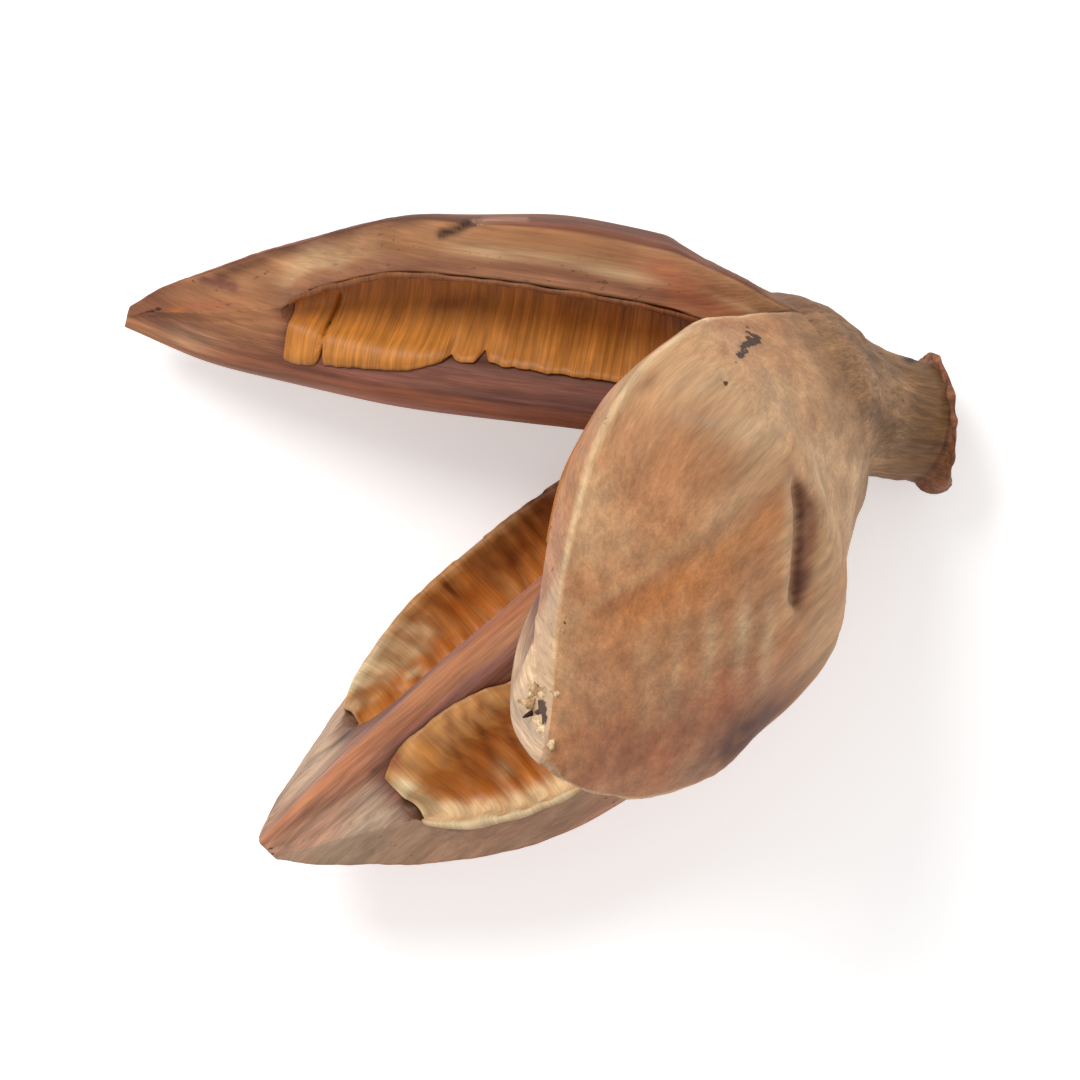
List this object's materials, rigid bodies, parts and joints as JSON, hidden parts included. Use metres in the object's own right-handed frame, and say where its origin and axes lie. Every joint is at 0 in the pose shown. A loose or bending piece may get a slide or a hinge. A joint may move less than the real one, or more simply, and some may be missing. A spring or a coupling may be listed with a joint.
{
  "type": "dried split seed pod",
  "caption": "Dried woody seed pod that has split from its tip into three boat-shaped valves, with papery striped linings and a bent neck, lying on its side.",
  "frame": {"origin": "bottom of the bounding box, at the middle of its footprint", "axes": "+X to the neck's collar, along the longest extent; +Y up in the picture; +Z up, towards the picture's camera"},
  "size_m": [0.0952, 0.0748, 0.0843],
  "materials": {
    "dried_husk": "matt, dry, tan to reddish brown",
    "papery_lining": "amber brown with fine dark stripes across, slightly shiny"
  },
  "bodies": {
    "root": {"capsule": "dried_husk", "lining_upper_left": "papery_lining", "lining_upper_right": "papery_lining", "lining_lower_left": "papery_lining", "lining_lower_right": "papery_lining", "lining_front_left": "papery_lining", "lining_front_right": "papery_lining"}
  },
  "joints": []
}
